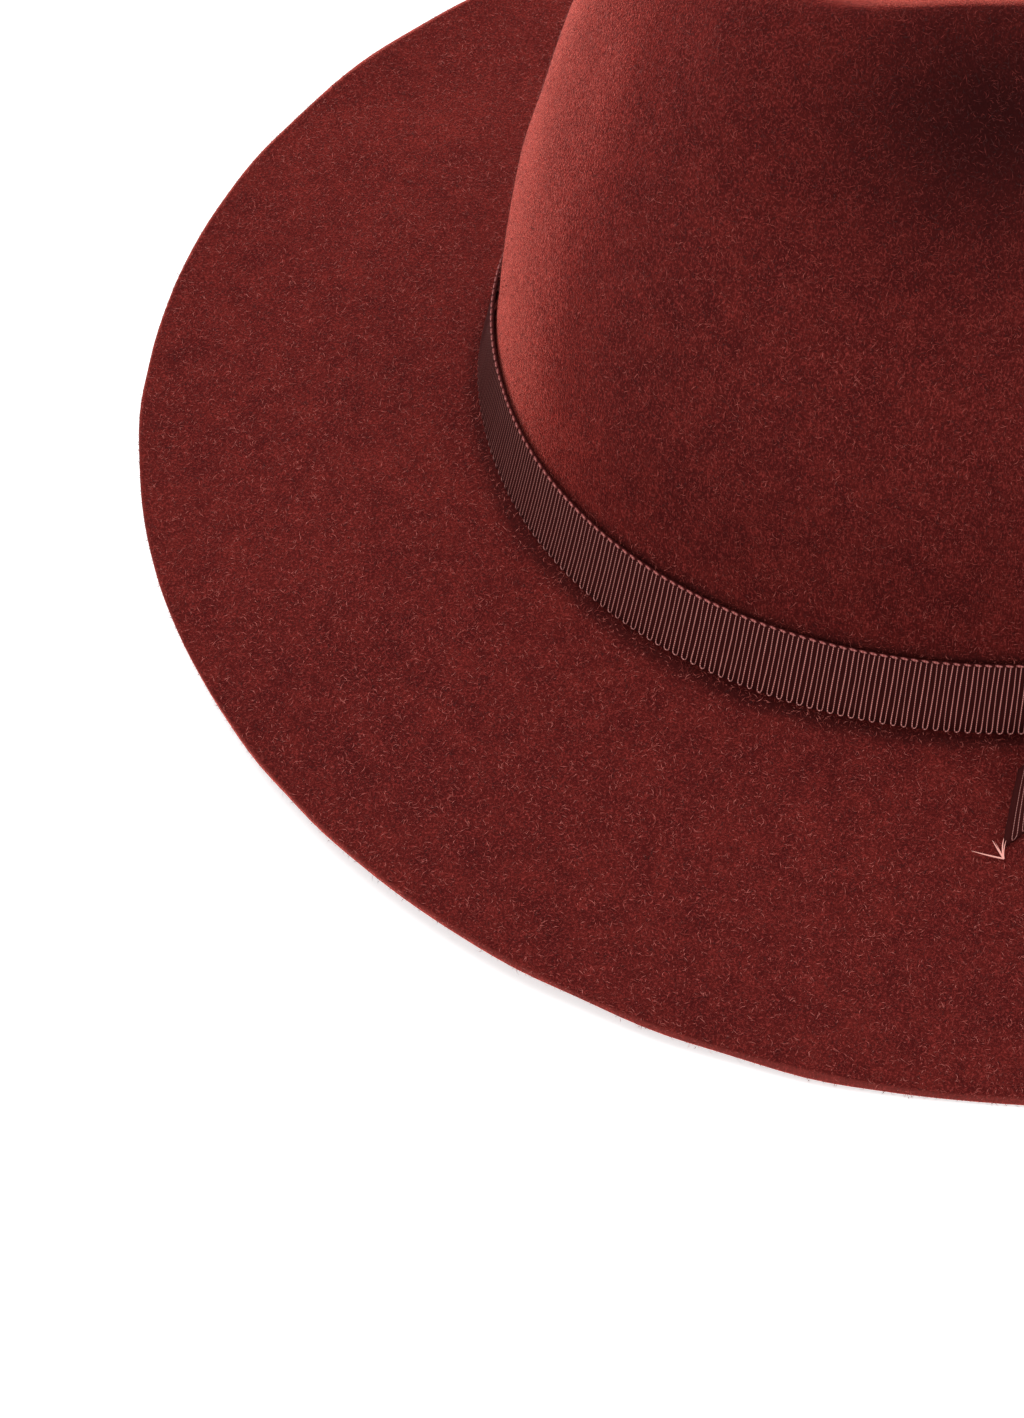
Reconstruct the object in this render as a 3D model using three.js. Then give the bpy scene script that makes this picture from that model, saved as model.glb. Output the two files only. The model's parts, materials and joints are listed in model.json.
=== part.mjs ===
// A wide-brimmed fedora of fur felt, with a narrow ribbed ribbon band and a small tied bow.
// Millimetres, +Z up. The front of the hat faces -Y, and the bow sits on the wearer's left, at +X.
// The brim rests on z = 0, and the origin lies under the middle of the hat.
// Crown and brim are one shell of felt, open underneath, as the real hat is blocked from one piece.

import * as THREE from 'three';

// Felt body: driving sizes
const FELT = 2.2; // wall thickness
const CROWN_HALF_LENGTH = 102; // head oval outside the felt, at the brim break
const CROWN_HALF_WIDTH = 86;
const CROWN_SQUARENESS = 2.12; // exponent of the head oval, where 2 is an ellipse
const CROWN_HEIGHT = 128.5; // brim break to the top of the ridge
const WALL_SLOPE = 0.24; // how fast the wall leans in behind the ribbon
const RIDGE_INSET = 44; // ridge inside the head oval, at the front and the back
const DENT_DEPTH = 27; // floor of the teardrop dent below the ridge
const DENT_CENTRE = 9; // middle of the dent, behind the middle of the hat
const PINCH_DEPTH = 12; // how far each side pinch goes in
const PINCH_ANGLE = 69; // direction of the pinches, in degrees from the front
const PINCH_SPREAD = 28; // half-width of a pinch, in degrees round the crown
const BRIM_REACH_ENDS = 64; // brim break to brim edge, at front and back
const BRIM_REACH_SIDES = 73;
const BREAK_HEIGHT_ENDS = 16; // top of the brim at the break, above the table
const BREAK_HEIGHT_SIDES = 9;
const FRONT_LIFT = 5.5; // how far the front edge of the brim stands off the table
const LIFT_START = 0.34; // where the lift starts, as the sine of the angle ahead of the side

// Ribbon and bow: driving sizes
const RIBBON_WIDTH = 14.6;
const RIBBON_THICKNESS = 1;
const RIBBON_START = 1.2; // lower edge of the band above the brim break
const GAP = 0.35; // running gap between pieces that lie on each other
const KNOT_WIDTH = 11;
const KNOT_THICKNESS = 3.6;
const TAIL_LENGTH = 26; // from the side of the knot to the cut end
const CUT_SLANT = 2.2; // how much further the lower edge runs to the cut end
const BOW_SET_BACK = 7; // middle of the knot, behind the middle of the side

// Directions round the hat
const COLUMNS = 64;
const LEFT_SIDE = Math.PI / 2; // angle from the front, anticlockwise seen from above

// Ridge of the crown every 30 degrees from front to back, as shares of the ridge's inset and of
// the crown height.
const RIDGE = [
  { inset: 1, height: 0.93 }, // front
  { inset: 0.87, height: 0.945 },
  { inset: 0.815, height: 0.965 },
  { inset: 0.755, height: 0.985 }, // side
  { inset: 0.77, height: 1.0 },
  { inset: 0.87, height: 0.99 },
  { inset: 1, height: 0.97 }, // back
];

// Brim from the edge in: reach is a share of the brim's reach, fall a share of its drop.
const BRIM_ROWS = [
  { reach: 1.0, fall: 1.0 },
  { reach: 0.95, fall: 1.0 },
  { reach: 0.87, fall: 0.965 },
  { reach: 0.7, fall: 0.83 },
  { reach: 0.5, fall: 0.61 },
  { reach: 0.3, fall: 0.39 },
  { reach: 0.15, fall: 0.24 },
  { reach: 0.07, fall: 0.16 },
  { reach: 0.03, fall: 0.09 },
];

// Wall above the ribbon: rise and lean are shares of the way from the ribbon's top to the ridge,
// and pinch is a share of the pinch depth.
const WALL_ROWS = [
  { rise: 0.12, lean: 0.026, pinch: 0 },
  { rise: 0.29, lean: 0.1, pinch: 0.04 },
  { rise: 0.46, lean: 0.222, pinch: 0.18 },
  { rise: 0.62, lean: 0.378, pinch: 0.5 },
  { rise: 0.76, lean: 0.54, pinch: 0.88 },
  { rise: 0.87, lean: 0.69, pinch: 1.0 },
  { rise: 0.94, lean: 0.808, pinch: 0.97 },
  { rise: 0.985, lean: 0.912, pinch: 0.88 },
  { rise: 1.0, lean: 1.0, pinch: 0.8 },
];

// Top inside the ridge: inward is a share of the way to the dent's centre, sink of the way to
// its floor.
const TOP_ROWS = [
  { inward: 0.07, sink: 0.02, pinch: 0.72 },
  { inward: 0.15, sink: 0.11, pinch: 0.63 },
  { inward: 0.27, sink: 0.34, pinch: 0.5 },
  { inward: 0.42, sink: 0.64, pinch: 0.32 },
  { inward: 0.6, sink: 0.87, pinch: 0.14 },
  { inward: 0.8, sink: 0.97, pinch: 0.03 },
];

// Tail of the bow from knot to cut end: along is a share of the tail length. The upper edge
// slides down the band and out onto the brim: height and reach are shares of the ribbon width.
const TAIL_ROWS = [
  { along: 0, height: 1.0, reach: 0 },
  { along: 0.2, height: 0.95, reach: 0 },
  { along: 0.42, height: 0.82, reach: 0.02 },
  { along: 0.62, height: 0.62, reach: 0.08 },
  { along: 0.8, height: 0.38, reach: 0.2 },
  { along: 0.92, height: 0.18, reach: 0.38 },
  { along: 1, height: 0.05, reach: 0.56 },
];

// Knot across its width: thick and tall are shares of the knot's thickness and of the ribbon
// width.
const KNOT_ROWS = [
  { across: -1, thick: 0.5, tall: 0.98 },
  { across: -0.72, thick: 0.86, tall: 1.08 },
  { across: -0.3, thick: 1, tall: 1.12 },
  { across: 0.3, thick: 1, tall: 1.12 },
  { across: 0.72, thick: 0.86, tall: 1.08 },
  { across: 1, thick: 0.5, tall: 0.98 },
];

// Corners of the knot's section, from the band side round the front: out is a share of its
// thickness and up a share of half its height.
const KNOT_SECTION = [
  { out: 0, up: -0.8 },
  { out: 0, up: 0.8 },
  { out: 0.45, up: 1 },
  { out: 0.85, up: 0.72 },
  { out: 1, up: 0 },
  { out: 0.85, up: -0.72 },
  { out: 0.45, up: -1 },
];

const FELT_RED = new THREE.MeshStandardMaterial({ color: 0x5a1d1a, roughness: 0.95, metalness: 0 });
const RIBBON_PLUM = new THREE.MeshStandardMaterial({ color: 0x3d1f22, roughness: 0.75, metalness: 0 });

// Value of a column of the ridge table at any angle: a smooth curve through the rows, the same
// on the left and the right.
function ridgeValue(column, angle) {
  const last = RIDGE.length - 1;
  const turned = Math.abs(Math.atan2(Math.sin(angle), Math.cos(angle)));
  const place = (turned / Math.PI) * last;
  const row = Math.min(Math.floor(place), last - 1);
  const t = place - row;
  const at = (i) => RIDGE[i < 0 ? -i : i > last ? 2 * last - i : i][column];
  const [a, b, c, d] = [at(row - 1), at(row), at(row + 1), at(row + 2)];
  return b + 0.5 * t * (c - a + t * (2 * a - 5 * b + 4 * c - d + t * (3 * (b - c) + d - a)));
}

// Point of an oval with the given half-width and half-length. The angle starts at the front.
function ovalPoint(halfWidth, halfLength, squareness, angle) {
  const s = Math.sin(angle);
  const c = Math.cos(angle);
  const power = 2 / squareness;
  return new THREE.Vector2(
    halfWidth * Math.sign(s) * Math.abs(s) ** power,
    -halfLength * Math.sign(c) * Math.abs(c) ** power,
  );
}

// Head oval grown or shrunk by a distance
function headOval(angle, grow) {
  return ovalPoint(CROWN_HALF_WIDTH + grow, CROWN_HALF_LENGTH + grow, CROWN_SQUARENESS, angle);
}

// Height of the felt's outer face at the brim break, higher at the two ends than at the sides
function breakHeight(angle) {
  const end = Math.cos(angle) ** 2;
  return BREAK_HEIGHT_SIDES + (BREAK_HEIGHT_ENDS - BREAK_HEIGHT_SIDES) * end;
}

// Height of the underside of the brim's edge: on the table, but lifted round the front
function edgeLift(angle) {
  const ahead = (Math.cos(angle) - LIFT_START) / (1 - LIFT_START);
  return FRONT_LIFT * Math.max(0, ahead) ** 1.25;
}

// Upper face of the brim, at a share of its reach and of its drop
function brimPoint(angle, reach, fall) {
  const inner = headOval(angle, 0);
  const outer = ovalPoint(
    CROWN_HALF_WIDTH + BRIM_REACH_SIDES,
    CROWN_HALF_LENGTH + BRIM_REACH_ENDS,
    2,
    angle,
  );
  const plan = inner.lerp(outer, reach);
  const top = breakHeight(angle);
  const edge = edgeLift(angle) + FELT;
  return new THREE.Vector3(plan.x, plan.y, top + (edge - top) * fall);
}

// Outer face of the straight wall behind the ribbon, moved out by a horizontal distance
function wallPoint(angle, height, out) {
  const plan = headOval(angle, out - WALL_SLOPE * height);
  return new THREE.Vector3(plan.x, plan.y, breakHeight(angle) + height);
}

const RIBBON_TOP = RIBBON_START + RIBBON_WIDTH / Math.hypot(1, WALL_SLOPE);

// How far a row is pushed in by the side pinch
function pinchIn(angle, share) {
  const turned = Math.abs(Math.atan2(Math.sin(angle), Math.cos(angle)));
  const off = (THREE.MathUtils.radToDeg(turned) - PINCH_ANGLE) / PINCH_SPREAD;
  return PINCH_DEPTH * share * Math.exp(-off * off) * Math.sin(angle);
}

// Outer face of the crown between the ribbon and the ridge
function crownPoint(angle, row) {
  const start = WALL_SLOPE * RIBBON_TOP;
  const inset = start + (RIDGE_INSET * ridgeValue('inset', angle) - start) * row.lean;
  const crest = CROWN_HEIGHT * ridgeValue('height', angle);
  const plan = headOval(angle, -inset);
  const height = RIBBON_TOP + (crest - RIBBON_TOP) * row.rise;
  return new THREE.Vector3(
    plan.x - pinchIn(angle, row.pinch),
    plan.y,
    breakHeight(angle) + height - (breakHeight(angle) - BREAK_HEIGHT_SIDES) * row.rise,
  );
}

// Outer face of the top, from the ridge down into the dent
function topPoint(angle, row) {
  const crest = crownPoint(angle, { rise: 1, lean: 1, pinch: row.pinch });
  const floor = dentCentre();
  return new THREE.Vector3(
    crest.x + (floor.x - crest.x) * row.inward,
    crest.y + (floor.y - crest.y) * row.inward,
    crest.z + (floor.z - crest.z) * row.sink,
  );
}

function dentCentre() {
  return new THREE.Vector3(0, DENT_CENTRE, BREAK_HEIGHT_SIDES + CROWN_HEIGHT - DENT_DEPTH);
}

// A ring of points round the hat from a function of the angle
function ringOf(pointAt) {
  return Array.from({ length: COLUMNS }, (_, k) => pointAt((2 * Math.PI * k) / COLUMNS));
}

// Rings moved inward along the surface, by the cross product of the two ways along the grid
function innerRings(rings, poleTop, thickness) {
  return rings.map((ring, i) => ring.map((point, k) => {
    const before = i > 0 ? rings[i - 1][k] : point;
    const after = i < rings.length - 1 ? rings[i + 1][k] : poleTop;
    const up = after.clone().sub(before);
    const round = ring[(k + 1) % COLUMNS].clone().sub(ring[(k + COLUMNS - 1) % COLUMNS]);
    const outward = round.cross(up).normalize();
    return point.clone().addScaledVector(outward, -thickness);
  }));
}

// Closed solid through rings of equal length. With poles, the first and last rings close on a
// point each; without, the last ring joins the first.
function solidThrough(rings, startPole, endPole) {
  const count = rings[0].length;
  const points = rings.flat();
  const faces = [];
  const steps = startPole ? rings.length - 1 : rings.length;
  for (let i = 0; i < steps; i += 1) {
    const low = i * count;
    const high = ((i + 1) % rings.length) * count;
    for (let k = 0; k < count; k += 1) {
      const next = (k + 1) % count;
      faces.push(low + k, low + next, high + next, low + k, high + next, high + k);
    }
  }
  if (startPole) {
    const first = points.push(startPole) - 1;
    const last = points.push(endPole) - 1;
    const end = (rings.length - 1) * count;
    for (let k = 0; k < count; k += 1) {
      const next = (k + 1) % count;
      faces.push(first, next, k);
      faces.push(last, end + k, end + next);
    }
  }
  return geometryFrom(points, faces);
}

// Signed volume of a closed mesh: it is negative when its faces point in
function signedVolume(points, faces) {
  let sum = 0;
  for (let i = 0; i < faces.length; i += 3) {
    const [a, b, c] = [points[faces[i]], points[faces[i + 1]], points[faces[i + 2]]];
    sum += a.dot(b.clone().cross(c)) / 6;
  }
  return sum;
}

function geometryFrom(points, faces) {
  const outward = signedVolume(points, faces) > 0 ? faces : [...faces].reverse();
  const geometry = new THREE.BufferGeometry();
  geometry.setAttribute(
    'position',
    new THREE.Float32BufferAttribute(points.flatMap((p) => [p.x, p.y, p.z]), 3),
  );
  geometry.setIndex(outward);
  geometry.computeVertexNormals();
  return geometry;
}

function namedMesh(name, geometry, material) {
  const mesh = new THREE.Mesh(geometry, material);
  mesh.name = name;
  return mesh;
}

// Felt body: brim, wall and top in one shell. The underside of the brim is straight below its
// upper face, so that its edge lies flat on the table.
function feltBody() {
  const brim = BRIM_ROWS.map((row) => ringOf((a) => brimPoint(a, row.reach, row.fall)));
  const wall = [0, RIBBON_START, RIBBON_TOP].map((h) => ringOf((a) => wallPoint(a, h, 0)));
  const crown = WALL_ROWS.map((row) => ringOf((a) => crownPoint(a, row)));
  const top = TOP_ROWS.map((row) => ringOf((a) => topPoint(a, row)));
  const outer = [...brim, ...wall, ...crown, ...top];
  const pole = dentCentre();
  const inner = innerRings(outer, pole, FELT);
  const underside = brim.map((ring) => ring.map((p) => new THREE.Vector3(p.x, p.y, p.z - FELT)));
  const inside = [...underside, ...inner.slice(brim.length)];
  const below = new THREE.Vector3(pole.x, pole.y, pole.z - FELT);
  return solidThrough([...outer.reverse(), ...inside], pole, below);
}

// Ribbon band: a closed ring that leans as the wall behind it does
function ribbonBand() {
  const corners = [
    [RIBBON_START, GAP],
    [RIBBON_START, GAP + RIBBON_THICKNESS],
    [RIBBON_TOP, GAP + RIBBON_THICKNESS],
    [RIBBON_TOP, GAP],
  ];
  return solidThrough(corners.map(([h, out]) => ringOf((a) => wallPoint(a, h, out))));
}

// How far the face of the band stands off the felt, with the gap for what lies on it
const ON_BAND = GAP + RIBBON_THICKNESS + GAP;

// A distance in millimetres from the middle of the knot, backwards along the side, as an angle
function sideAngle(distance) {
  return LEFT_SIDE + (BOW_SET_BACK + distance) / CROWN_HALF_LENGTH;
}

// Height of the brim's upper face at a distance out from the break, on the bow's side
function brimHeight(angle, out) {
  const share = out / BRIM_REACH_SIDES;
  const rows = [...BRIM_ROWS].reverse();
  const above = rows.find((row) => row.reach >= share) ?? rows[rows.length - 1];
  const below = rows[rows.indexOf(above) - 1] ?? { reach: 0, fall: 0 };
  const t = (share - below.reach) / (above.reach - below.reach);
  return brimPoint(angle, share, below.fall + (above.fall - below.fall) * Math.max(t, 0)).z;
}

// Point beside the crown: a distance out from the break in plan, and a height above the table
function besidePoint(angle, out, z) {
  const plan = headOval(angle, out);
  return new THREE.Vector3(plan.x, plan.y, z);
}

// One tail: a strip whose lower edge lies on the brim while its upper edge leaves the band
function bowTail(side) {
  const rings = TAIL_ROWS.map((row) => {
    const start = KNOT_WIDTH / 2 + GAP;
    const angle = sideAngle(side * (start + row.along * TAIL_LENGTH));
    const lowAngle = sideAngle(side * (start + row.along * (TAIL_LENGTH + CUT_SLANT)));
    const height = row.height * RIBBON_WIDTH;
    const topOut = ON_BAND - WALL_SLOPE * height + row.reach * RIBBON_WIDTH;
    const topZ = Math.max(breakHeight(angle) + height, brimHeight(angle, topOut) + GAP);
    const steepest = RIBBON_WIDTH / Math.hypot(1, WALL_SLOPE);
    let lowOut = topOut;
    let drop = steepest;
    for (let i = 0; i < 12; i += 1) {
      drop = Math.min(steepest, topZ - brimHeight(lowAngle, lowOut) - GAP);
      lowOut = topOut + Math.sqrt(RIBBON_WIDTH ** 2 - drop ** 2);
    }
    const upper = besidePoint(angle, topOut, topZ);
    const lower = besidePoint(lowAngle, lowOut, topZ - drop);
    const across = lower.clone().sub(upper).normalize();
    const round = new THREE.Vector3(Math.cos(angle), Math.sin(angle), 0);
    const face = across.cross(round).normalize();
    if (face.z < 0) face.negate();
    const shift = face.multiplyScalar(RIBBON_THICKNESS);
    return [upper, upper.clone().add(shift), lower.clone().add(shift), lower];
  });
  return cappedLoft(rings);
}

// Closed solid through open sections, with a flat cap at each end
function cappedLoft(rings) {
  const middle = (ring) => ring
    .reduce((sum, p) => sum.add(p), new THREE.Vector3())
    .divideScalar(ring.length);
  return solidThrough(rings, middle(rings[0]), middle(rings[rings.length - 1]));
}

// Knot: a pillow of folded ribbon over the front of the band
function bowKnot() {
  const middle = (RIBBON_START + RIBBON_TOP) / 2;
  const rings = KNOT_ROWS.map((row) => KNOT_SECTION.map((corner) => {
    const angle = sideAngle((row.across * KNOT_WIDTH) / 2);
    const height = middle + (corner.up * row.tall * RIBBON_WIDTH) / 2;
    return wallPoint(angle, height, ON_BAND + corner.out * row.thick * KNOT_THICKNESS);
  }));
  return cappedLoft(rings);
}

const hat = new THREE.Group();
hat.add(namedMesh('felt_body', feltBody(), FELT_RED));
hat.add(namedMesh('ribbon_band', ribbonBand(), RIBBON_PLUM.clone()));
hat.add(namedMesh('bow_knot', bowKnot(), RIBBON_PLUM.clone()));
hat.add(namedMesh('bow_tail_front', bowTail(-1), RIBBON_PLUM.clone()));
hat.add(namedMesh('bow_tail_back', bowTail(1), RIBBON_PLUM.clone()));

export default hat;
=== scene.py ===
# %% [markdown]
# A fur felt fedora on a white table.
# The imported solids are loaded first. They fix the place and the size of every piece, so all
# that follows is made in the same frame, in metres, with the front of the hat towards -Y and
# the bow at +X.

# %% Load the frame
import json
import math

import bpy
import numpy as np
from mathutils import Matrix, Vector

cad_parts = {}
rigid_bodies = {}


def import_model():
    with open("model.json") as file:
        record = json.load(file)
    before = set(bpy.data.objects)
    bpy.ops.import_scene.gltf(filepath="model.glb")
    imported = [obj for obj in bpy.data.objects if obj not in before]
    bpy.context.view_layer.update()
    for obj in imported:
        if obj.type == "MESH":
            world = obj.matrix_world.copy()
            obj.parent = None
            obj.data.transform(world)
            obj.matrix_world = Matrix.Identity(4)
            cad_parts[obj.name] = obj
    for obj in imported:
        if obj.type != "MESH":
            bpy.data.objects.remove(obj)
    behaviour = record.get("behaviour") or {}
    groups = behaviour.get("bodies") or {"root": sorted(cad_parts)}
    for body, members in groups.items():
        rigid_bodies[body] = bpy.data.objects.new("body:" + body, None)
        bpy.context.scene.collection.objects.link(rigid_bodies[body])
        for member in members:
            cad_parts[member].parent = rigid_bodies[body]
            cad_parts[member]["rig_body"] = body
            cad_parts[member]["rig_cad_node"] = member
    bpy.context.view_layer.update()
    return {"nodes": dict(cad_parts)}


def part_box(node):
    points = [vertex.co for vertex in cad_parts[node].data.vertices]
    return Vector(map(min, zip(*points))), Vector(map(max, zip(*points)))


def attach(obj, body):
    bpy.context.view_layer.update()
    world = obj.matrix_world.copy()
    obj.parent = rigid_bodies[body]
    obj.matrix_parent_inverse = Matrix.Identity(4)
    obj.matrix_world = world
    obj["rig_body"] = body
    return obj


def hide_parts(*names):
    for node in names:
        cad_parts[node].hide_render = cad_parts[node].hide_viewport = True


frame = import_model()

print("nodes:", sorted(frame["nodes"]))

# %% [markdown]
# Three habits keep the steps short. Everything is deselected before an operator runs, because
# an operator acts on all that is selected. Colours are picked as sRGB hex and turned to linear
# in one place. Shader nodes are added by one function, which also sets values and makes links.

# %% Small helpers
MM = 0.001


def select_only(*objects):
    if bpy.context.mode != "OBJECT":
        bpy.ops.object.mode_set(mode="OBJECT")
    bpy.ops.object.select_all(action="DESELECT")
    for o in objects:
        o.select_set(True)
    bpy.context.view_layer.objects.active = objects[0]
    return objects[0]


def colour(hex_text):
    parts = [int(hex_text[i:i + 2], 16) / 255 for i in (0, 2, 4)]
    linear = [c / 12.92 if c <= 0.04045 else ((c + 0.055) / 1.055) ** 2.4 for c in parts]
    return linear + [1.0]


def add_node(tree, kind, inputs=(), **settings):
    new = tree.nodes.new(kind)
    for name, value in settings.items():
        setattr(new, name, value)
    for socket, value in dict(inputs).items():
        if isinstance(value, bpy.types.NodeSocket):
            tree.links.new(value, new.inputs[socket])
        else:
            new.inputs[socket].default_value = value
    return new


def read_points(piece):
    flat = np.empty(len(piece.data.vertices) * 3)
    piece.data.vertices.foreach_get("co", flat)
    return flat.reshape(-1, 3)


def write_points(piece, points):
    piece.data.vertices.foreach_set("co", np.asarray(points, float).ravel())
    piece.data.update()


def triangles(piece):
    return sum(len(p.vertices) - 2 for p in piece.data.polygons)


# %% [markdown]
# The camera looks down on the left front of the brim from about 45 degrees above the table.
# Its place was found by fitting the outlines of the brim, the band and the crown to the
# photograph. It is turned a little about its own axis, and no shift or blur is needed.

# %% Camera
EYE = Vector((0.56606, -0.18923, 0.59073))
LOOK_TURN, LOOK_DOWN, LOOK_ROLL = (math.radians(a) for a in (81.135, 48.478, -3.295))

camera_data = bpy.data.cameras.new("camera")
camera_data.lens = 113.74
camera_data.sensor_width = 36
camera = bpy.data.objects.new("camera", camera_data)
bpy.context.scene.collection.objects.link(camera)
backwards = Vector((
    math.sin(LOOK_TURN) * math.cos(LOOK_DOWN),
    -math.cos(LOOK_TURN) * math.cos(LOOK_DOWN),
    math.sin(LOOK_DOWN),
))
level = Vector((math.cos(LOOK_TURN), math.sin(LOOK_TURN), 0))
upright = backwards.cross(level)
right = level * math.cos(LOOK_ROLL) + upright * math.sin(LOOK_ROLL)
above = backwards.cross(right)
axes = Matrix((right, above, backwards)).transposed()
camera.matrix_world = Matrix.Translation(EYE) @ axes.to_4x4()
bpy.context.scene.camera = camera
print("camera is", round(EYE.length * 1000), "mm from the middle of the hat")

# %% [markdown]
# The felt body of a hat is one piece. A cone of felted rabbit fur is steamed, pulled over a
# block and left thick enough to hold its shape. The solid already has that shape in coarse
# faces, so a copy of its mesh is merged, turned back into quads and rounded by a Subdivision
# Surface. The edge of the brim is cut raw: its upper rim gets a full crease and stays crisp,
# and its lower rim a weak one, so it is rounded.

# %% Felt body
BRIM_HALF_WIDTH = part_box("felt_body")[1].x
BRIM_HALF_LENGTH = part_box("felt_body")[1].y


def copy_of_node(node, name):
    select_only(frame["nodes"][node])
    bpy.ops.object.duplicate()
    piece = bpy.context.active_object
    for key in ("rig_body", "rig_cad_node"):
        if key in piece:
            del piece[key]
    piece.parent = None
    piece.name = piece.data.name = name
    piece.data.materials.clear()
    select_only(piece)
    bpy.ops.object.mode_set(mode="EDIT")
    bpy.ops.mesh.select_all(action="SELECT")
    bpy.ops.mesh.remove_doubles(threshold=0.00001)
    bpy.ops.mesh.tris_convert_to_quads(face_threshold=math.pi, shape_threshold=math.pi)
    bpy.ops.object.mode_set(mode="OBJECT")
    return piece


felt_body = copy_of_node("felt_body", "fur_felt_body")
UPPER_CREASE, LOWER_CREASE = 1.0, 0.2
ON_EDGE = 0.9985  # share of the brim from which a corner counts as on its edge


def share_of_brim(points):
    """1 on the edge of the brim, less inside it."""
    x, y = points[..., 0] / BRIM_HALF_WIDTH, points[..., 1] / BRIM_HALF_LENGTH
    return np.sqrt(x * x + y * y)


corners = read_points(felt_body)
share = share_of_brim(corners)
outermost = share > ON_EDGE
for v in felt_body.data.vertices:
    v.select = False
for f in felt_body.data.polygons:
    f.select = False
upper = np.zeros(len(corners), bool)
for i in np.flatnonzero(outermost):
    others = corners[outermost]
    same_place = others[np.hypot(*(others - corners[i]).T[:2]) < 0.2 * MM]
    upper[i] = corners[i][2] > same_place[:, 2].min() + 1 * MM
lower = outermost & ~upper
bpy.context.tool_settings.mesh_select_mode = (False, True, False)
for rim, sharpness in ((upper, UPPER_CREASE), (lower, LOWER_CREASE)):
    for e in felt_body.data.edges:
        e.select = bool(rim[e.vertices[0]] and rim[e.vertices[1]])
    bpy.ops.object.mode_set(mode="EDIT")
    bpy.ops.transform.edge_crease(value=sharpness)
    bpy.ops.mesh.select_all(action="DESELECT")
    bpy.ops.object.mode_set(mode="OBJECT")
rounding = felt_body.modifiers.new("rounding", "SUBSURF")
rounding.levels = rounding.render_levels = 2
bpy.ops.object.modifier_apply(modifier="rounding")
print("felt body:", triangles(felt_body), "triangles")

# %% [markdown]
# Felt that has been worn and steamed is never quite even. Two Displace modifiers with soft
# clouds do that: one moves the skin in and out by a few tenths of a millimetre, and one lifts
# the brim here and there. Vertex groups hold the first away from the ribbon, which is tied
# tight, and the second away from the head opening. The table flattens what would sink into it.
# Two attributes are stored for the material: the raw edge, which is lighter, and a painted
# shade, which is darkest in the pinches and the dent and makes all of the crown a little
# darker.

# %% Uneven felt
ABOVE_BRIM = 34 * MM  # higher than any point of the brim
RAW_EDGE = 0.9965  # share of the brim where the cut begins
points = read_points(felt_body)
share = share_of_brim(points)
low = points[:, 2] < ABOVE_BRIM
for name, weights in (
    ("brim", np.clip((share - 0.62) / 0.3, 0, 1) * low),
    ("loose", np.where(low, np.clip((share - 0.7) / 0.2, 0, 1), 1)),
):
    group = felt_body.vertex_groups.new(name=name)
    for step in range(1, 11):
        chosen = np.flatnonzero(np.round(weights * 10).astype(int) == step)
        group.add(chosen.tolist(), step / 10, "REPLACE")

for name, size, strength, direction, group in (
    ("uneven_skin", 18 * MM, 0.8 * MM, "NORMAL", "loose"),
    ("uneven_brim", 120 * MM, 1.6 * MM, "Z", "brim"),
):
    clouds = bpy.data.textures.new(name, "CLOUDS")
    clouds.noise_scale = size
    clouds.noise_depth = 0
    uneven = felt_body.modifiers.new(name, "DISPLACE")
    uneven.texture = clouds
    uneven.texture_coords = "LOCAL"
    uneven.direction = direction
    uneven.strength = strength
    uneven.vertex_group = group
    bpy.ops.object.modifier_apply(modifier=name)
points = read_points(felt_body)
points[:, 2] = np.maximum(points[:, 2], 0)
write_points(felt_body, points)
cut_edge = felt_body.data.attributes.new("cut_edge", "FLOAT", "POINT")
cut_edge.data.foreach_set("value", (share_of_brim(points) > RAW_EDGE).astype(float))


# Where the painted shade of the side pinches and of the dent on top is centred, and how far it
# reaches.
PINCH_PLACE, PINCH_REACH = (0.047, -0.025, 0.118), (0.03, 0.026, 0.022)
DENT_PLACE, DENT_REACH = (0, 0.009, 0.112), (0.03, 0.036, 0.012)


def crown_tone_and_painted_shade_at(points):
    """How much painted shade the felt has at some points: 0 is none, and 1 is the middle of a
    pinch. From 20 mm up the crown is also a little darker.
    """
    dark = 0.17 * np.clip((points[:, 2] - 0.02) / 0.02, 0, 1)
    for side in (-1, 1):
        off = (points - np.multiply(PINCH_PLACE, (side, 1, 1))) / PINCH_REACH
        dark += np.exp(-(off ** 2).sum(1)) * (points[:, 0] * side > 0)
    in_dent = (points - DENT_PLACE) / DENT_REACH
    return dark + 0.5 * np.exp(-(in_dent ** 2).sum(1))


crown_tone_and_painted_shade = crown_tone_and_painted_shade_at(points)
felt_body.data.attributes.new("crown_tone_and_painted_shade", "FLOAT", "POINT").data.foreach_set("value", crown_tone_and_painted_shade)
bpy.ops.object.shade_smooth()
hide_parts("felt_body")
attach(felt_body, "root")
print("felt body spans", [round(1000 * d) for d in felt_body.dimensions], "mm")

# %% [markdown]
# Rabbit fur felt has a nap: the ends of the fibres stand out of the skin, lie every way and
# catch the light as short pale strokes. A texture alone leaves the outline clean, so loose
# fibres are added as real geometry, two pieces for the brim and two for the crown. An operator
# can't scatter them, and a particle system would be lost in the export, so their corners are
# worked out in one go: each is a sliver of two triangles, bent in its middle. They grow only on
# the outside of the hat, which is where a face looks up, or out if it is steep. Real fibres are
# 0.02 mm thick, and these are drawn 0.09 mm wide so that they show at all.

# %% Nap of loose fibres
FIBRES = 80000  # on each piece
FIBRE_WIDTH = 0.09 * MM
FIBRE_LENGTH = (0.4 * MM, 1.7 * MM)

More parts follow.
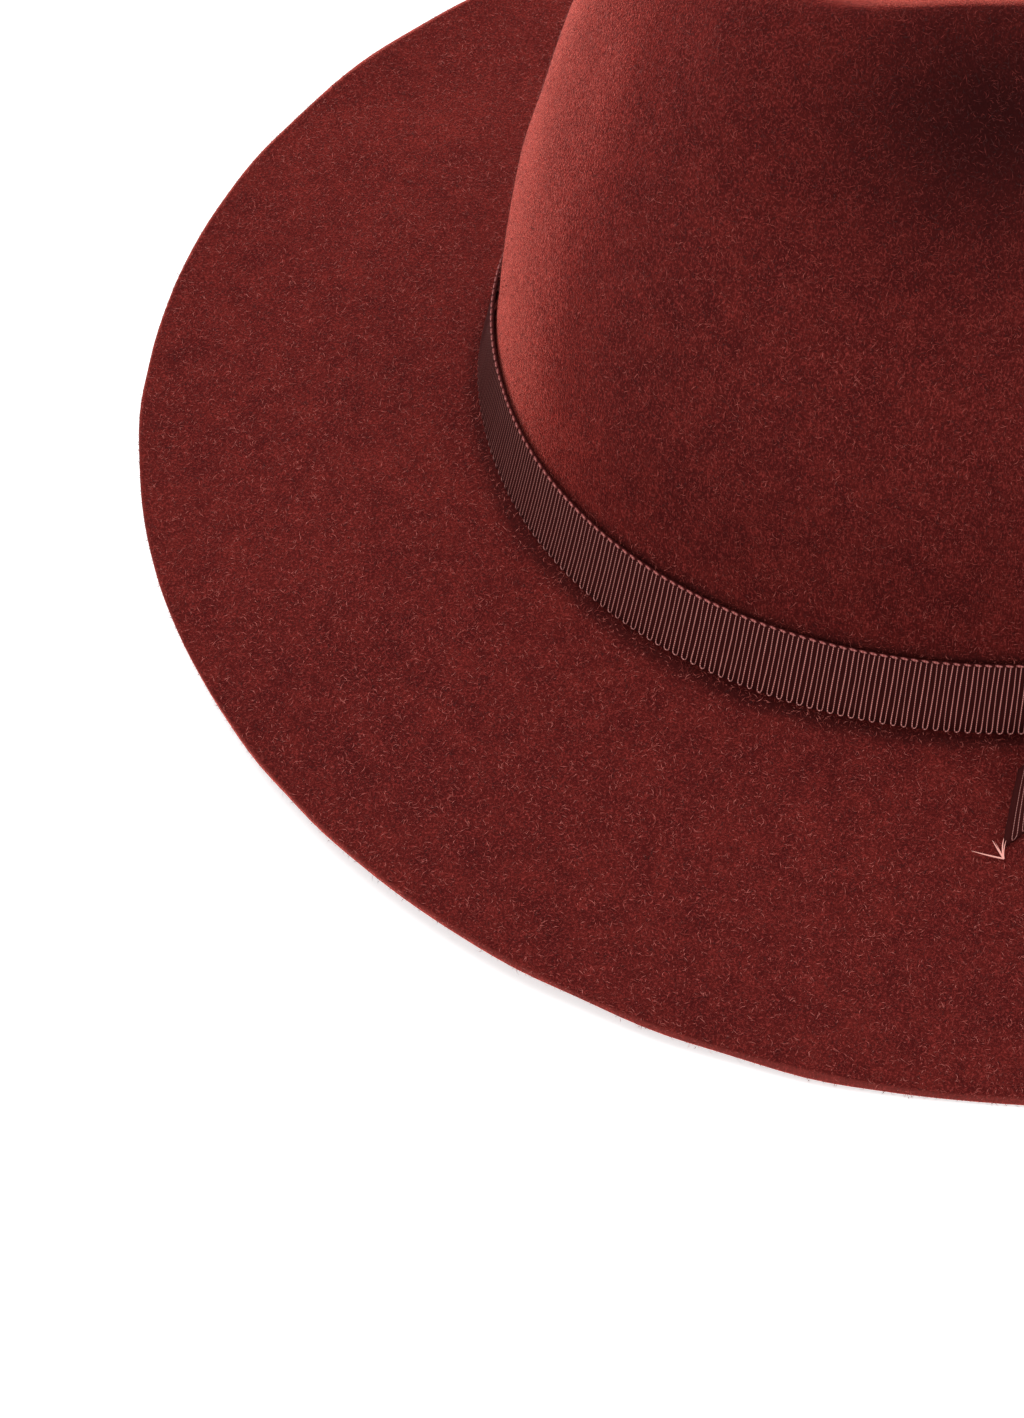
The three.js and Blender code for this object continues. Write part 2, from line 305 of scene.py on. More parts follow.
felt_body.data.calc_loop_triangles()
tris = np.empty(len(felt_body.data.loop_triangles) * 3, int)
felt_body.data.loop_triangles.foreach_get("vertices", tris)
a, b, c = (read_points(felt_body)[tris.reshape(-1, 3)[:, k]] for k in range(3))
cross = np.cross(b - a, c - a)
area = np.linalg.norm(cross, axis=1) / 2
normal = cross / np.maximum(2 * area, 1e-15)[:, None]
centre = (a + b + c) / 3
looks_out = normal[:, 0] * centre[:, 0] + normal[:, 1] * centre[:, 1] > 0
shows = np.where(np.abs(normal[:, 2]) > 0.3, normal[:, 2] > 0, looks_out)
on_crown = centre[:, 2] > 26 * MM
rng = np.random.default_rng(7)


def turned_way(way, axis, angle):
    return way * np.cos(angle) + np.cross(axis, way) * np.sin(angle)


def nap_over(name, region):
    chance = area * shows * region
    pick = rng.choice(len(area), FIBRES, p=chance / chance.sum())
    s, t = rng.random((2, FIBRES))
    s, t = np.where(s + t > 1, 1 - s, s), np.where(s + t > 1, 1 - t, t)
    root = a[pick] + (b - a)[pick] * s[:, None] + (c - a)[pick] * t[:, None]
    n = normal[pick]
    lie = np.cross(n, rng.normal(size=(FIBRES, 3)))
    lie /= np.linalg.norm(lie, axis=1)[:, None]
    bend = rng.uniform(-1.1, 1.1, FIBRES)[:, None]
    lift = np.radians(rng.uniform(6, 38, FIBRES))[:, None]
    shortest, longest = FIBRE_LENGTH
    half = (shortest + (longest - shortest) * rng.random(FIBRES)[:, None] ** 2) / 2
    elbow = root + (lie * np.cos(lift) + n * np.sin(lift)) * half
    after = turned_way(lie, n, bend)
    tip = elbow + (after * np.cos(lift / 3) + n * np.sin(lift / 3)) * half
    across = np.cross(n, lie + after)
    across *= FIBRE_WIDTH / 2 / np.linalg.norm(across, axis=1)[:, None]
    sliver = np.stack([root, elbow + across, tip, elbow - across], 1).reshape(-1, 3)
    sliver[:, 2] = np.maximum(sliver[:, 2], 0)
    first = np.arange(FIBRES)[:, None] * 4
    halves = np.concatenate([first + (0, 1, 3), first + (1, 2, 3)])
    mesh = bpy.data.meshes.new(name)
    mesh.from_pydata(sliver.tolist(), [], halves.tolist())
    shade = mesh.attributes.new("fibre_shade", "FLOAT", "POINT")
    # Fibres are darker where the felt has painted shade: in the pinches and the dent, and a
    # little over the crown.
    own = rng.random(FIBRES) * (1 - 0.75 * np.clip(crown_tone_and_painted_shade_at(root), 0, 1))
    shade.data.foreach_set("value", np.repeat(own, 4))
    piece = bpy.data.objects.new(name, mesh)
    bpy.context.scene.collection.objects.link(piece)
    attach(piece, "root")
    print(name, "has", FIBRES, "fibres, mean length %.2f mm" % (2000 * half.mean()))
    return piece


nap_pieces = [nap_over("brim_nap_first", ~on_crown), nap_over("brim_nap_second", ~on_crown),
              nap_over("crown_nap_first", on_crown), nap_over("crown_nap_second", on_crown)]

# %% [markdown]
# The ribbon is laid flat first, as it comes off the reel, and wrapped round the crown after
# that. These are the sizes of the crown and the band, in millimetres, and the same oval, wall
# and brim that the solids were made from, so the wrapped ribbon lies where its solid does.

# %% Sizes of the crown, brim and ribbon
HALF_WIDTH, HALF_LENGTH, SQUARENESS = 86, 102, 2.12
WALL_SLOPE = 0.24
BREAK_SIDES, BREAK_ENDS = 9, 16
BRIM_SIDES = 73
FRONT_LIFT, LIFT_START = 5.5, 0.34
FELT = 2.2
RIBBON_WIDTH, RIBBON_START = 14.6, 1.2
GAP = 0.35
GROUND = 0.5  # thickness of the woven ground under the ribs
GROUND_WIDTH = RIBBON_WIDTH - 0.3  # it ends inside the looped edges
RIB_PITCH = 0.9
THREAD_RADIUS = 0.19
TILT = math.atan(WALL_SLOPE)


def head_oval(angle, grow):
    """A point of the foot oval, made larger by grow. The angle goes from the front to +X."""
    s, c = np.sin(angle), np.cos(angle)
    power = 2 / SQUARENESS
    x = (HALF_WIDTH + grow) * np.sign(s) * abs(s) ** power
    return x, -(HALF_LENGTH + grow) * np.sign(c) * abs(c) ** power


def break_height(angle):
    return BREAK_SIDES + (BREAK_ENDS - BREAK_SIDES) * np.cos(angle) ** 2


def on_wall(angle, height, out):
    """A point at a height over the foot of the crown, and out from its leaning wall."""
    x, y = head_oval(angle, out - WALL_SLOPE * height)
    return np.stack([x, y, break_height(angle) + height], -1)


turn = np.linspace(0, 2 * math.pi, 4001)
loop = on_wall(turn, RIBBON_START + RIBBON_WIDTH / 2 * math.cos(TILT), GAP + GROUND)
steps = np.linalg.norm(np.diff(loop, axis=0), axis=1)
way_round = np.concatenate([[0], np.cumsum(steps)])
BAND_LENGTH = way_round[-1]
PAIRS = round(BAND_LENGTH / (2 * RIB_PITCH))
PAIR = BAND_LENGTH / PAIRS
print("band: %.1f mm round, %d ribs %.2f mm apart" % (BAND_LENGTH, 2 * PAIRS, PAIR / 2))

# %% [markdown]
# Beside the tied ribbon the felt gets painted shade: it is darker in a soft line just above
# and just below the band, where shade falls in the corner. A point's share of the foot oval
# tells how far outside it the point lies.

# %% Dark line beside the ribbon
crown_tone_and_painted_shade = np.empty(len(felt_body.data.vertices))
felt_body.data.attributes["crown_tone_and_painted_shade"].data.foreach_get("value", crown_tone_and_painted_shade)
x, y, z = read_points(felt_body).T / MM
powers = [abs(x / HALF_WIDTH) ** SQUARENESS, abs(y / HALF_LENGTH) ** SQUARENESS]
outside = (sum(powers) ** (1 / SQUARENESS) - 1) * (HALF_WIDTH + HALF_LENGTH) / 2
angle = np.arctan2(np.sqrt(powers[0]), np.sqrt(powers[1]))
above_foot = z - break_height(angle)
band_top = RIBBON_START + RIBBON_WIDTH * math.cos(TILT)
# Painted shade in the corner just below and just above the band.
below = np.exp(-((outside - 1) / 1.8) ** 2) * (above_foot < RIBBON_START + 1)
beyond = np.exp(-((above_foot - band_top) / 1.4) ** 2) * (above_foot > RIBBON_START)
crown_tone_and_painted_shade += 0.9 * np.maximum(below, beyond)
felt_body.data.attributes["crown_tone_and_painted_shade"].data.foreach_set("value", crown_tone_and_painted_shade)

# %% [markdown]
# This is a ribbed ribbon with a looped edge. Each pair of ribs is one turn of a twisted thread:
# down, round in a small U at the lower edge, and up again. At the upper edge a fatter twist
# caps the pair. The pair is modelled once, flat: a curve with a round bevel for the thread, and
# a scaled sphere for the cap. It is then repeated along the ribbon by an Array modifier. It
# comes hundreds of times, so it has only a few dozen faces.

# %% One pair of ribs
CAP_SIZE = (0.4, 0.25, 0.3)  # half its width as a share of the pair, half its height and depth
CAP_TILT = 0.2
CAP_INSET = 0.24  # middle of a cap, inside the upper edge


def thread_through(name, route, thick, roundness):
    """A mesh of a thread. Each point of its route is x, y, z and its share of the thickness."""
    curve = bpy.data.curves.new(name, "CURVE")
    curve.dimensions = "3D"
    curve.bevel_depth = thick
    curve.bevel_resolution = roundness
    spline = curve.splines.new("POLY")
    spline.points.add(len(route) - 1)
    for point, (x, y, z, share) in zip(spline.points, route):
        point.co = (x, y, z, 1)
        point.radius = share
    thread = bpy.data.objects.new(name, curve)
    bpy.context.scene.collection.objects.link(thread)
    select_only(thread)
    bpy.ops.object.convert(target="MESH")
    return bpy.context.active_object


def unit_of_ribs(name, pair, thick):
    half, w = pair / 4, RIBBON_WIDTH
    down = [(half, w - 0.45), (half, w * 0.62), (half, w * 0.3), (half, 0.8),
            (half * 0.86, 0.3), (half * 0.4, thick * 0.4)]
    route = [(-x, y, GROUND, 1) for x, y in down] + [(x, y, GROUND, 1) for x, y in down[::-1]]
    thread = thread_through(name, route, thick, 0)
    bpy.ops.mesh.primitive_uv_sphere_add(segments=8, ring_count=5, radius=1)
    twist = bpy.context.active_object
    bpy.ops.object.mode_set(mode="EDIT")
    bpy.ops.mesh.select_all(action="SELECT")
    bpy.ops.transform.rotate(value=math.pi / 2, orient_axis="Y", center_override=(0, 0, 0))
    bpy.ops.transform.resize(value=(pair * CAP_SIZE[0], CAP_SIZE[1], CAP_SIZE[2]))
    bpy.ops.transform.rotate(value=CAP_TILT, orient_axis="Z", center_override=(0, 0, 0))
    bpy.ops.transform.translate(value=(pair * 0.1, w - CAP_INSET, GROUND + 0.04))
    bpy.ops.object.mode_set(mode="OBJECT")
    select_only(thread, twist)
    bpy.ops.object.join()
    return thread


def run_of_ribs(name, pair, count, thick=THREAD_RADIUS):
    piece = unit_of_ribs(name, pair, thick)
    row = piece.modifiers.new("row", "ARRAY")
    row.use_relative_offset = False
    row.use_constant_offset = True
    row.constant_offset_displace = (pair, 0, 0)
    row.count = count
    select_only(piece)
    bpy.ops.object.modifier_apply(modifier="row")
    bpy.ops.object.shade_smooth()
    piece.name = piece.data.name = name
    return piece


def ground_strip(name, length, across, along):
    """A flat strip of woven ground, from 0 to length along X and across the ribbon along Y."""
    bpy.ops.mesh.primitive_grid_add(x_subdivisions=along, y_subdivisions=across, size=1)
    strip = bpy.context.active_object
    bpy.ops.object.mode_set(mode="EDIT")
    bpy.ops.mesh.select_all(action="SELECT")
    bpy.ops.transform.translate(value=(0.5, 0.5, 0))
    bpy.ops.transform.resize(value=(length, GROUND_WIDTH, 1), center_override=(0, 0, 0))
    bpy.ops.transform.translate(value=(0, 0.1, GROUND))
    bpy.ops.object.mode_set(mode="OBJECT")
    wall = strip.modifiers.new("wall", "SOLIDIFY")
    wall.thickness = GROUND
    wall.offset = -1
    bpy.ops.object.modifier_apply(modifier="wall")
    bpy.ops.object.shade_smooth()
    strip.name = strip.data.name = name
    return strip


def shift_along(piece, distance):
    select_only(piece)
    bpy.ops.object.mode_set(mode="EDIT")
    bpy.ops.mesh.select_all(action="SELECT")
    bpy.ops.transform.translate(value=(distance, 0, 0))
    bpy.ops.object.mode_set(mode="OBJECT")


def keep_flat_place(piece):
    """Store where each point lay on the flat ribbon, in millimetres, for the material."""
    flat = piece.data.attributes.new("on_ribbon", "FLOAT_VECTOR", "POINT")
    flat.data.foreach_set("vector", read_points(piece).ravel())


# %% [markdown]
# Wrapping is a change of coordinates. A point's place along the ribbon gives the angle round
# the crown, its place across gives the height on the leaning wall, and its height over the
# ground stands off along the wall's normal. The ribs of the real band lean and wander a little,
# because the ribbon was steamed and pulled round the oval by hand. The crown gets narrower
# upwards and the ribbon doesn't, so its upper edge gapes a little, except beside the bow.

# %% Ribbon band
RIB_LEAN = 0.06
GAPE = 0.35
BOW_SET_BACK = 7  # middle of the bow, behind the middle of the side


def wrap_on_band(flat):
    along, across, out = flat.T
    wander = 0.1 * np.sin(along * 0.9) * np.sin(across / RIBBON_WIDTH * 3) + \
        0.05 * np.sin(along * 3.7 + across * 0.35)
    shifted = along + RIB_LEAN * (across - RIBBON_WIDTH / 2) + wander
    angle = np.interp(shifted % BAND_LENGTH, way_round, turn)
    from_bow = (angle - math.pi / 2) * HALF_LENGTH - BOW_SET_BACK
    tied = np.exp(-(from_bow / 22) ** 4)
    gape = GAPE * np.clip(across / RIBBON_WIDTH, 0, 1) ** 2 * (1 - tied)
    height = RIBBON_START + across * math.cos(TILT)
    placed = on_wall(angle, height, GAP + gape + out * math.cos(TILT))
    placed[:, 2] += out * math.sin(TILT)
    return placed * MM


def finish_piece(piece):
    select_only(piece)
    bpy.ops.object.mode_set(mode="EDIT")
    bpy.ops.mesh.select_all(action="SELECT")
    bpy.ops.mesh.remove_doubles(threshold=0.000004)
    bpy.ops.object.mode_set(mode="OBJECT")
    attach(piece, "root")
    print(piece.name, "has", triangles(piece), "triangles")


def lay_on_hat(piece, wrap):
    keep_flat_place(piece)
    write_points(piece, wrap(read_points(piece)))
    finish_piece(piece)


band_ground = ground_strip("band_ground", BAND_LENGTH, 6, 480)
lay_on_hat(band_ground, wrap_on_band)
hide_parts("ribbon_band")

lay_on_hat(run_of_ribs("band_ribs", PAIR, PAIRS), wrap_on_band)

# %% [markdown]
# The bow lies on the left side of the crown. Its two tails leave the band beside the knot,
# turn over and settle on the brim, so the way from ribbon to hat changes along them: the
# upper edge follows a few chosen heights and reaches, and the lower edge drops from it until
# it touches the brim.

# %% Bow tails
KNOT_WIDTH, KNOT_THICKNESS = 11, 3.6
TAIL_LENGTH, CUT_SLANT = 26, 2.2
TAIL_PITCH = 0.7  # closer ribs, because the strip fans out towards its lower edge
TAIL_THREAD_RADIUS = 0.13
# The bare dark ground left at the cut end is a painted shadow: it stands for the shade and
# thickness of the cut edge.
SHADE_MARGIN_AT_CUT = 0.9  # bare ground between the last rib and the cut
BAND_THICKNESS = 1
ON_BAND = GAP + BAND_THICKNESS + GAP
TAIL_ALONG = (0, 0.2, 0.42, 0.62, 0.8, 0.92, 1)
TAIL_HEIGHT = (1.0, 0.95, 0.82, 0.62, 0.38, 0.18, 0.05)
TAIL_REACH = (0, 0, 0.02, 0.08, 0.2, 0.38, 0.56)
BRIM_REACH = (0, 0.03, 0.07, 0.15, 0.3, 0.5, 0.7, 0.87, 0.95, 1.0)
BRIM_FALL = (0, 0.09, 0.16, 0.24, 0.39, 0.61, 0.83, 0.965, 1.0, 1.0)


def side_angle(distance):
    return math.pi / 2 + (BOW_SET_BACK + distance) / HALF_LENGTH


def brim_height(angle, out):
    forwards = (np.cos(angle) - LIFT_START) / (1 - LIFT_START)
    lift = FRONT_LIFT * np.clip(forwards, 0, None) ** 1.25
    top = break_height(angle)
    return top + (lift + FELT - top) * np.interp(out / BRIM_SIDES, BRIM_REACH, BRIM_FALL)


def smooth_row(values, share):
    """The values along a tail at some shares of its length, averaged over a short stretch."""
    near = [np.interp(share + d, TAIL_ALONG, values) for d in (-0.09, -0.045, 0, 0.045, 0.09)]
    return sum(near) / len(near)


def tail_edges(side, share):
    """Upper and lower edge of a tail at a share of its length."""
    start = KNOT_WIDTH / 2 + GAP
    angle = side_angle(side * (start + share * TAIL_LENGTH))
    low_angle = side_angle(side * (start + share * (TAIL_LENGTH + CUT_SLANT)))
    height = smooth_row(TAIL_HEIGHT, share) * RIBBON_WIDTH
    out = ON_BAND - WALL_SLOPE * height + smooth_row(TAIL_REACH, share) * RIBBON_WIDTH
    top = np.maximum(break_height(angle) + height, brim_height(angle, out) + GAP)
    steepest = RIBBON_WIDTH * math.cos(TILT)
    low_out, drop = out, steepest
    for _ in range(12):
        drop = np.minimum(steepest, top - brim_height(low_angle, low_out) - GAP)
        low_out = out + np.sqrt(RIBBON_WIDTH ** 2 - drop ** 2)
    x, y = head_oval(angle, out)
    u, v = head_oval(low_angle, low_out)
    return np.stack([x, y, top], -1), np.stack([u, v, top - drop], -1)


def wrap_on_tail(side):
    def wrap(flat):
        along, across, out = flat.T
        share = along / TAIL_LENGTH
        upper, lower = tail_edges(side, share)
        ahead, _ = tail_edges(side, share + 0.02)
        up = upper - lower
        normal = np.cross(up, ahead - upper)
        normal /= np.linalg.norm(normal, axis=1)[:, None]
        normal *= np.sign(normal[:, 2:] + normal[:, :1])
        place = across / RIBBON_WIDTH
        belly = 0.5 * np.sin(math.pi * np.clip(place, 0, 1)) * np.clip(share, 0, 1)
        return (lower + up * place[:, None] + normal * (out + belly)[:, None]) * MM
    return wrap


for side, node in ((-1, "bow_tail_front"), (1, "bow_tail_back")):
    wrap = wrap_on_tail(side)
    ground = ground_strip(node + "_ground", TAIL_LENGTH, 10, 30)
    ribbed = TAIL_LENGTH - SHADE_MARGIN_AT_CUT
    pairs = round(ribbed / (2 * TAIL_PITCH))
    ribs = run_of_ribs(node + "_ribs", ribbed / pairs, pairs, TAIL_THREAD_RADIUS)
    shift_along(ribs, ribbed / pairs / 2)
    lay_on_hat(ground, wrap)
    lay_on_hat(ribs, wrap)
    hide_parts(node)

# %% [markdown]
# The knot is the same ribbon, folded narrower and wrapped over the band from below to above,
# so its ribs run across it. A strip is bent over a pillow that stands a few millimetres proud
# in the middle and pulls in at both sides.

# %% Bow knot
KNOT_ACROSS = (-1, -0.72, -0.3, 0.3, 0.72, 1)
KNOT_THICK = (0.5, 0.86, 1, 1, 0.86, 0.5)
KNOT_TALL = (0.98, 1.08, 1.12, 1.12, 1.08, 0.98)
KNOT_WRAP = 22.0  # ribbon over the knot, from its lower to its upper fold
KNOT_MIDDLE = RIBBON_START + RIBBON_WIDTH * math.cos(TILT) / 2


def wrap_on_knot(flat):
    along, across, out = flat.T
    place = np.clip(2 * across / RIBBON_WIDTH - 1, -1.02, 1.02)
    turned = (along / KNOT_WRAP - 0.5) * math.pi
    thick = KNOT_THICKNESS * np.interp(place, KNOT_ACROSS, KNOT_THICK) - GROUND - THREAD_RADIUS
    tall = RIBBON_WIDTH * np.interp(place, KNOT_ACROSS, KNOT_TALL) / 2 - GROUND
    s, c = np.sin(turned), np.clip(np.cos(turned), 0, None)
    up = (tall + out) * np.sign(s) * abs(s) ** 0.8
    off = ON_BAND + (thick + out) * c ** 0.62
    angle = side_angle(place * KNOT_WIDTH / 2)
    return on_wall(angle, KNOT_MIDDLE + up, off) * MM


knot_ground = ground_strip("bow_knot_ground", KNOT_WRAP, 16, 30)
knot_pairs = round(KNOT_WRAP / (2 * RIB_PITCH))
knot_ribs = run_of_ribs("bow_knot_ribs", KNOT_WRAP / knot_pairs, knot_pairs)
shift_along(knot_ribs, KNOT_WRAP / knot_pairs / 2)
lay_on_hat(knot_ground, wrap_on_knot)
lay_on_hat(knot_ribs, wrap_on_knot)
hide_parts("bow_knot")

# %% [markdown]
# Where the front tail was cut, the pale core of its lower edge has come apart. Each loose
# strand is a curve with a round bevel that gets thinner towards its end. The strands start at
# the lower corner of the cut. Their bends and ends are given from there in millimetres:
# forwards along the brim, in towards the crown and up.

# %% Frayed threads
corner = tail_edges(-1, np.array([1.0]))[1][0]
STRANDS = (
    ((2.6, 0.8, 0.6), (5.2, 1.7, 1.5), 0.15),
    ((0.7, 1.3, 1.0), (1.4, 2.5, 2.3), 0.17),
    ((0.4, 1.1, 0.9), (0.9, 2.0, 1.9), 0.09),
    ((0.1, 1.4, 0.8), (-0.6, 2.6, 2.1), 0.17),
    ((-0.1, 1.2, 0.6), (-1.0, 2.5, 1.6), 0.12),
)
CORE_OUT, CORE_AHEAD = 2.1, 0.3  # where the core hangs out of the corner
strands = []
for bend, end, thick in STRANDS:
    route = []
    for s in np.linspace(0, 1, 9):
        ahead, inward, up = (2 * s * (1 - s) * m + s * s * e for m, e in zip(bend, end))
        route.append((corner[0] + CORE_OUT - inward, corner[1] - CORE_AHEAD - ahead,
                      corner[2] + up, 1 - 0.8 * s ** 2))
    strands.append(thread_through("frayed_threads", route, thick, 1))
select_only(*strands)
bpy.ops.object.join()
frayed_threads = bpy.context.active_object
frayed_threads.name = frayed_threads.data.name = "frayed_threads"
write_points(frayed_threads, read_points(frayed_threads) * MM)
bpy.ops.object.shade_smooth()
finish_piece(frayed_threads)

# %% [markdown]
# All materials are made of noise and waves, placed by the object's own coordinates or by the
# place on the flat ribbon. A few functions add the nodes that they share: a stretched value, a
# blend of two colours, a sum or product, a noise of a given size in metres, an attribute stored
# on the mesh, and the shader with its output.

# %% Shader helpers
def new_material(name):
    material = bpy.data.materials.new(name)
    material.use_nodes = True
    tree = material.node_tree
    tree.nodes.clear()
    return material, tree


def spread(tree, value, low, high):
    """Stretch a value from low..high to 0..1."""
    return add_node(tree, "ShaderNodeMapRange",
                    {0: value, 1: low, 2: high, 3: 0.0, 4: 1.0}).outputs[0]


def blend_colours(tree, factor, first, second):
    mixed = add_node(tree, "ShaderNodeMix", {0: factor, 6: first, 7: second}, data_type="RGBA")
    return mixed.outputs[2]


def calculate(tree, what, first, second):
    return add_node(tree, "ShaderNodeMath", {0: first, 1: second}, operation=what).outputs[0]


def scaled(tree, value, factor):
    return calculate(tree, "MULTIPLY", value, factor)


def noise(tree, place, size, detail, roughness=0.5):
    return add_node(tree, "ShaderNodeTexNoise", {
        "Vector": place, "Scale": 1 / size, "Detail": detail, "Roughness": roughness,
    }).outputs["Fac"]


def stored(tree, name, output="Fac"):
    return add_node(tree, "ShaderNodeAttribute", attribute_name=name).outputs[output]


def finish_material(tree, **inputs):
    """Add the shader, with the inputs given by their names, and the material's output."""
    shader = add_node(tree, "ShaderNodeBsdfPrincipled",
                      {name.replace("_", " "): value for name, value in inputs.items()})
    add_node(tree, "ShaderNodeOutputMaterial", {"Surface": shader.outputs[0]})

# %% [markdown]
# Fur felt, dyed rust red. What the eye gets is a soft matt skin with fine speckle, where fibres
# lie every way: light ones catch the light, and dark pits show between them. Under it are
# cloudier patches from brushing. Seen at a grazing angle the tips of the fibres add up and
# glow, more than the shader's own sheen does, so Layer Weight paints a sheen into the colour
# there, and a paler painted rim highlight at the most grazing angles. Painted shade from the
# stored attribute darkens the pinches, the dent and the line beside the band, and the crown is
# a little darker all over.
# The speckle of real felt is about 0.2 mm, and it is drawn at 0.45 mm to show.

# %% Felt material
SPECKLE_SIZE, PATCH_SIZE, CLOUD_SIZE = 0.45 * MM, 5 * MM, 38 * MM
STROKE_WIDTH, STROKE_LENGTH = 0.3 * MM, 1.4 * MM

felt_material, tree = new_material("rabbit_fur_felt_dyed_rust")
place = add_node(tree, "ShaderNodeTexCoord").outputs["Object"]
speckle = noise(tree, place, SPECKLE_SIZE, 2.0, 0.6)
patches = noise(tree, place, PATCH_SIZE, 4.0, 0.62)
clouds = noise(tree, place, CLOUD_SIZE, 2.0)
strokes = None
for turn_by in ((0.3, 0.2, 0.5), (1.3, 0.4, 2.1), (0.5, 1.4, 3.9), (2.2, 1.0, 5.2)):
    turned = add_node(tree, "ShaderNodeMapping", {
        "Vector": place, "Rotation": turn_by,
        "Scale": (1 / STROKE_WIDTH, 1 / STROKE_WIDTH, 1 / STROKE_LENGTH)}).outputs[0]
    lines = add_node(tree, "ShaderNodeTexNoise", {
        "Vector": turned, "Scale": 1.0, "Detail": 1.0, "Distortion": 0.9}).outputs["Fac"]
    strokes = lines if strokes is None else calculate(tree, "MAXIMUM", strokes, lines)
fine = calculate(tree, "ADD", scaled(tree, spread(tree, speckle, 0.3, 0.7), 0.45),
                 scaled(tree, spread(tree, strokes, 0.45, 0.75), 0.55))
mottled = calculate(tree, "ADD", scaled(tree, spread(tree, patches, 0.35, 0.65), 0.7),
                    scaled(tree, spread(tree, clouds, 0.3, 0.7), 0.3))
body_colour = blend_colours(tree, mottled, colour("480f10"), colour("72231e"))
deep = blend_colours(tree, fine, colour("3a0e0d"), body_colour)
bright = blend_colours(tree, spread(tree, fine, 0.55, 1.0), deep, colour("86322e"))
at_cut = scaled(tree, spread(tree, stored(tree, "cut_edge"), 0.4, 0.95), 0.3)
with_cut = blend_colours(tree, at_cut, bright, colour("98423c"))
# Painted shade: the felt turns towards near black where the stored shade attribute is high.
painted_shade_share = scaled(tree, stored(tree, "crown_tone_and_painted_shade"), 0.8)
with_painted_shade = blend_colours(tree, painted_shade_share, with_cut, colour("260808"))
bump = add_node(tree, "ShaderNodeBump", {"Height": fine, "Strength": 0.45,
                                        "Distance": 0.25 * MM}).outputs[0]
# Painted sheen: Layer Weight makes the colour a lighter red at grazing angles, and pale pink at
# the most grazing ones as a painted rim highlight.
grazing = add_node(tree, "ShaderNodeLayerWeight",
                   {"Blend": 0.5, "Normal": bump}).outputs["Facing"]
uneven_painted_sheen = calculate(tree, "ADD", scaled(tree, fine, 1.5), 0.35)
painted_sheen = calculate(tree, "MULTIPLY", calculate(tree, "POWER", grazing, 7.5), uneven_painted_sheen)
rim = scaled(tree, calculate(tree, "POWER", grazing, 18.0), 0.9)
with_painted_sheen = blend_colours(tree, painted_sheen, with_painted_shade, colour("fa4a3c"))
finish_material(
    tree, Base_Color=blend_colours(tree, rim, with_painted_sheen, colour("ffa494")), Roughness=0.95,
    Specular_IOR_Level=0.05, Sheen_Weight=0.08, Sheen_Roughness=0.25,
    Sheen_Tint=colour("ff5a4a"), Normal=bump)
felt_body.data.materials.append(felt_material)

# %% [markdown]
# The loose fibres are the same rabbit hair, seen one by one. Each has a shade of its own, from
# nearly black to a pale pink, and most are close to the colour of the skin.

# %% Fibre material
fibre_material, tree = new_material("single_rabbit_hairs")
own_shade = stored(tree, "fibre_shade")
plain = blend_colours(tree, own_shade, colour("561613"), colour("8a3129"))
# The darkest fibres are partly a random tone of their own and partly painted shade, taken from
# the felt under them.
shadowed = blend_colours(tree, spread(tree, own_shade, 0.25, 0.0), plain, colour("240606"))
pale = blend_colours(tree, spread(tree, own_shade, 0.7, 1.0), shadowed, colour("b4625a"))
finish_material(tree, Base_Color=pale, Roughness=0.7, Specular_IOR_Level=0.2)
for piece in nap_pieces:
    piece.data.materials.append(fibre_material)

# %% [markdown]
# The ribbon is a plum rayon. Its ground is dark and matt, with a fine cross weave that only
# shows close up, and its ribs are a twisted thread. Their lustre is a painted highlight: the
# twist is painted as a row of light beads, about 0.35 mm apart on the real ribbon and 0.45 mm
# here, and only the crest of a thread, where it faces the viewer, gets this painted light. The
# flanks are as dark as the ground, and that is why the band turns dark where the ribs are seen
# from the side.
# The caps of the upper edge are a duller red.

# %% Ribbon materials
ground_material, tree = new_material("plum_rayon_ground")
flat_place = stored(tree, "on_ribbon", "Vector")
cross_weave = add_node(tree, "ShaderNodeTexWave", {
    "Vector": flat_place, "Scale": 1.6, "Distortion": 0.6, "Detail": 1.0},
    bands_direction="Y").outputs["Fac"]
ground_colour = blend_colours(tree, cross_weave, colour("2a0605"), colour("3a0c0b"))
weave_bump = add_node(tree, "ShaderNodeBump", {"Height": cross_weave, "Strength": 0.4,
                                              "Distance": 0.08 * MM}).outputs[0]
finish_material(tree, Base_Color=ground_colour, Roughness=0.8, Specular_IOR_Level=0.1,
                Normal=weave_bump)

BEAD_LENGTH = 0.45  # millimetres along the thread, since on_ribbon is in millimetres
WAVES_A_UNIT = 0.628  # the node's scale that gives one wave a unit
thread_material, tree = new_material("twisted_rayon_thread")
flat_place = stored(tree, "on_ribbon", "Vector")
twist = add_node(tree, "ShaderNodeTexWave", {
    "Vector": flat_place, "Scale": WAVES_A_UNIT / BEAD_LENGTH, "Distortion": 0.4,
    "Detail": 0.0}, bands_direction="DIAGONAL").outputs["Fac"]
vary = add_node(tree, "ShaderNodeTexNoise", {"Vector": flat_place, "Scale": 0.6}).outputs["Fac"]
thread_dark = blend_colours(tree, vary, colour("863836"), colour("a85650"))
# Painted highlights: the twist paints a row of light beads along each thread.
with_painted_beads = blend_colours(tree, twist, thread_dark, colour("ffb6ac"))
flat_parts = add_node(tree, "ShaderNodeSeparateXYZ", {"Vector": flat_place}).outputs
